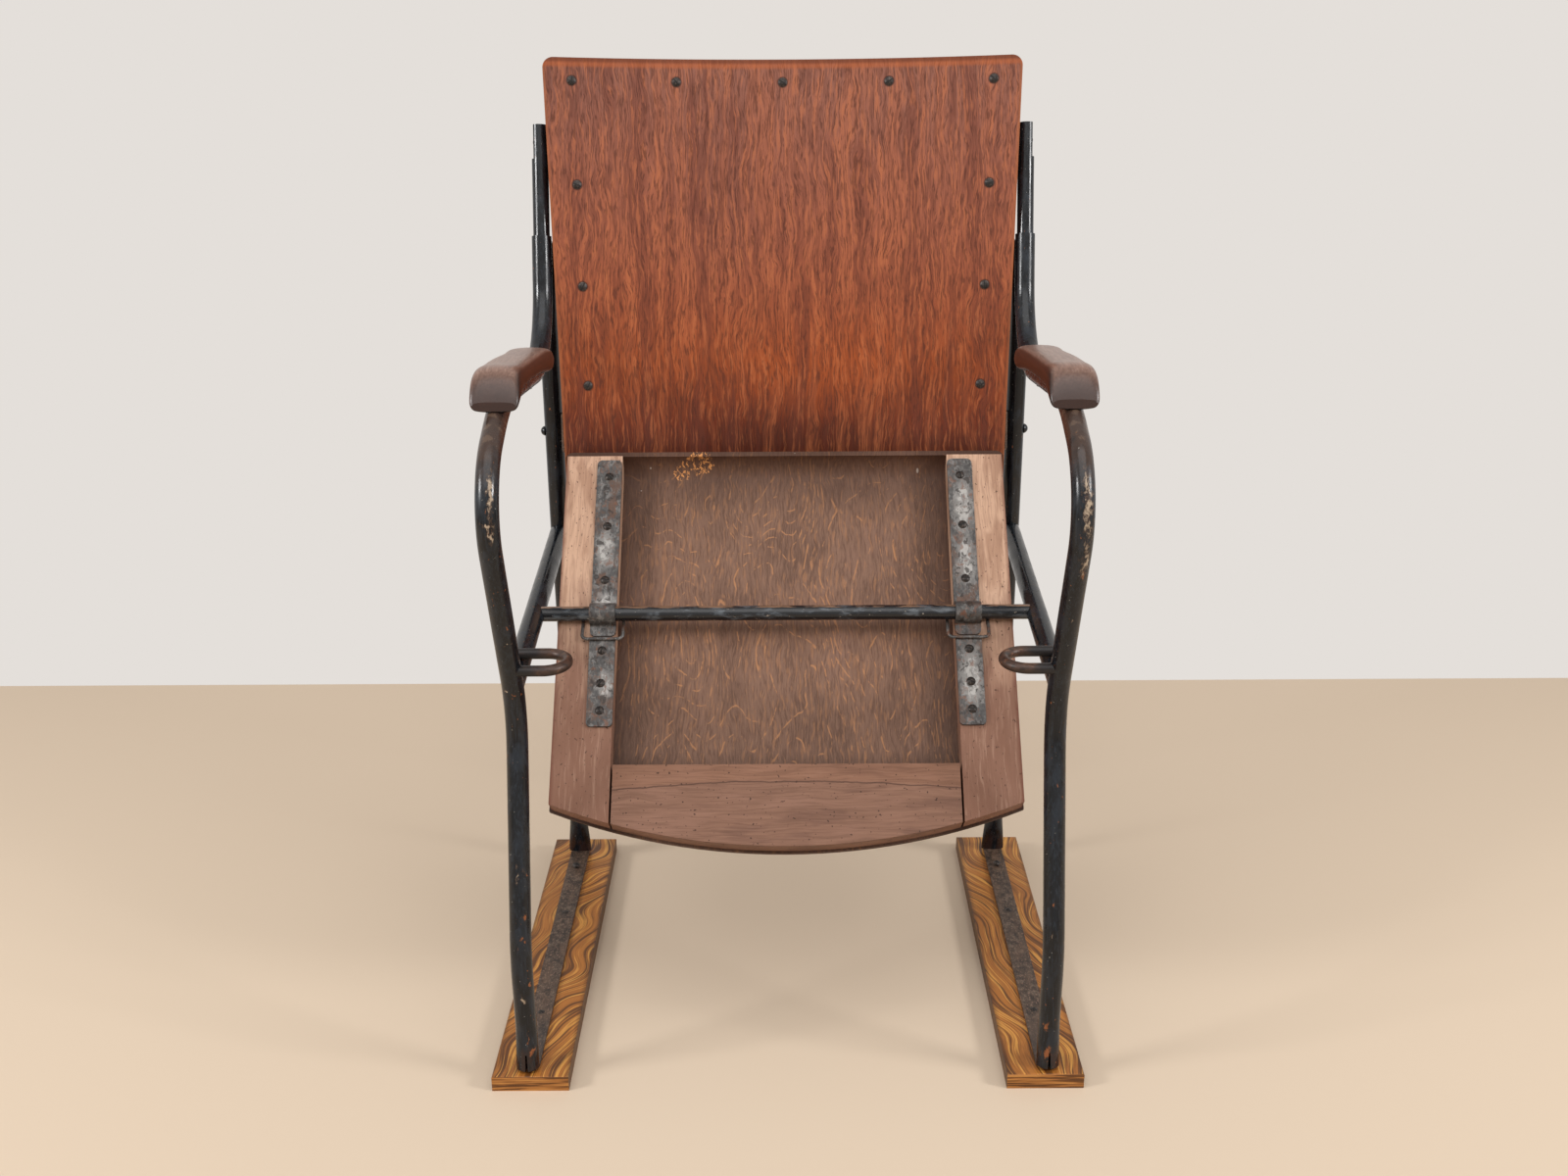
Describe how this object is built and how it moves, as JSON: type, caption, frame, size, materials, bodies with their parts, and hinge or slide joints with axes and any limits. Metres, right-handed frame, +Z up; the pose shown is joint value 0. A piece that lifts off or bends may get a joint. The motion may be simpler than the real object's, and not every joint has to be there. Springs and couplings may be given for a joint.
{
  "type": "tip-up chair",
  "caption": "Tip-up chair with bent steel tube side frames, a curved plywood back, wooden armrests and a seat that tips up on a cross rod.",
  "frame": {"origin": "on the floor, at the middle of the chair's width and depth", "axes": "+X to the right seen from the front, +Y from the front to the back, +Z up"},
  "size_m": [0.531, 0.4463, 0.8723],
  "materials": {
    "black_tube": "worn black paint",
    "runner_oak": "stained, satin",
    "floor_iron": "old, dull brown-grey",
    "armrest_wood": "satin varnish",
    "back_veneer": "satin varnish",
    "seat_veneer": "worn, dull",
    "seat_frame_wood": "bare and worn",
    "back_frame_wood": "dull",
    "strap_steel": "pitted, partly rusty",
    "fastener_steel": "dark, dull"
  },
  "bodies": {
    "frame": {"arm_tube_left": "black_tube", "arm_tube_right": "black_tube", "armrest_left": "armrest_wood", "armrest_right": "armrest_wood", "armrest_screws": "fastener_steel", "back_bolts": "fastener_steel", "back_bottom_rail": "back_frame_wood", "back_bracket_left": "floor_iron", "back_bracket_right": "floor_iron", "back_nuts": "fastener_steel", "back_panel": "back_veneer", "back_post_left": "black_tube", "back_post_right": "black_tube", "back_screws": "fastener_steel", "back_side_screws": "fastener_steel", "back_stile_left": "back_frame_wood", "back_stile_right": "back_frame_wood", "back_top_rail": "back_frame_wood", "flat_iron_left": "floor_iron", "flat_iron_right": "floor_iron", "floor_screws": "fastener_steel", "pivot_rod": "black_tube", "rear_leg_left": "black_tube", "rear_leg_right": "black_tube", "runner_left": "runner_oak", "runner_right": "runner_oak", "seat_rest_loop_left": "black_tube", "seat_rest_loop_right": "black_tube", "side_rail_left": "black_tube", "side_rail_right": "black_tube"},
    "seat": {"seat_ply": "seat_veneer", "seat_rear_rail": "seat_frame_wood", "seat_stile_left": "seat_frame_wood", "seat_stile_right": "seat_frame_wood", "strap_front_left": "strap_steel", "strap_front_right": "strap_steel", "strap_rear_left": "strap_steel", "strap_rear_right": "strap_steel", "strap_screws": "fastener_steel", "wire_link_left": "strap_steel", "wire_link_right": "strap_steel"}
  },
  "joints": [
    {"name": "seat_tip", "type": "hinge", "parent": "frame", "child": "seat", "pos_m": [0, -0.0223, 0.3835], "axis": [1, 0, 0], "range_deg": [0, 132.6]}
  ]
}
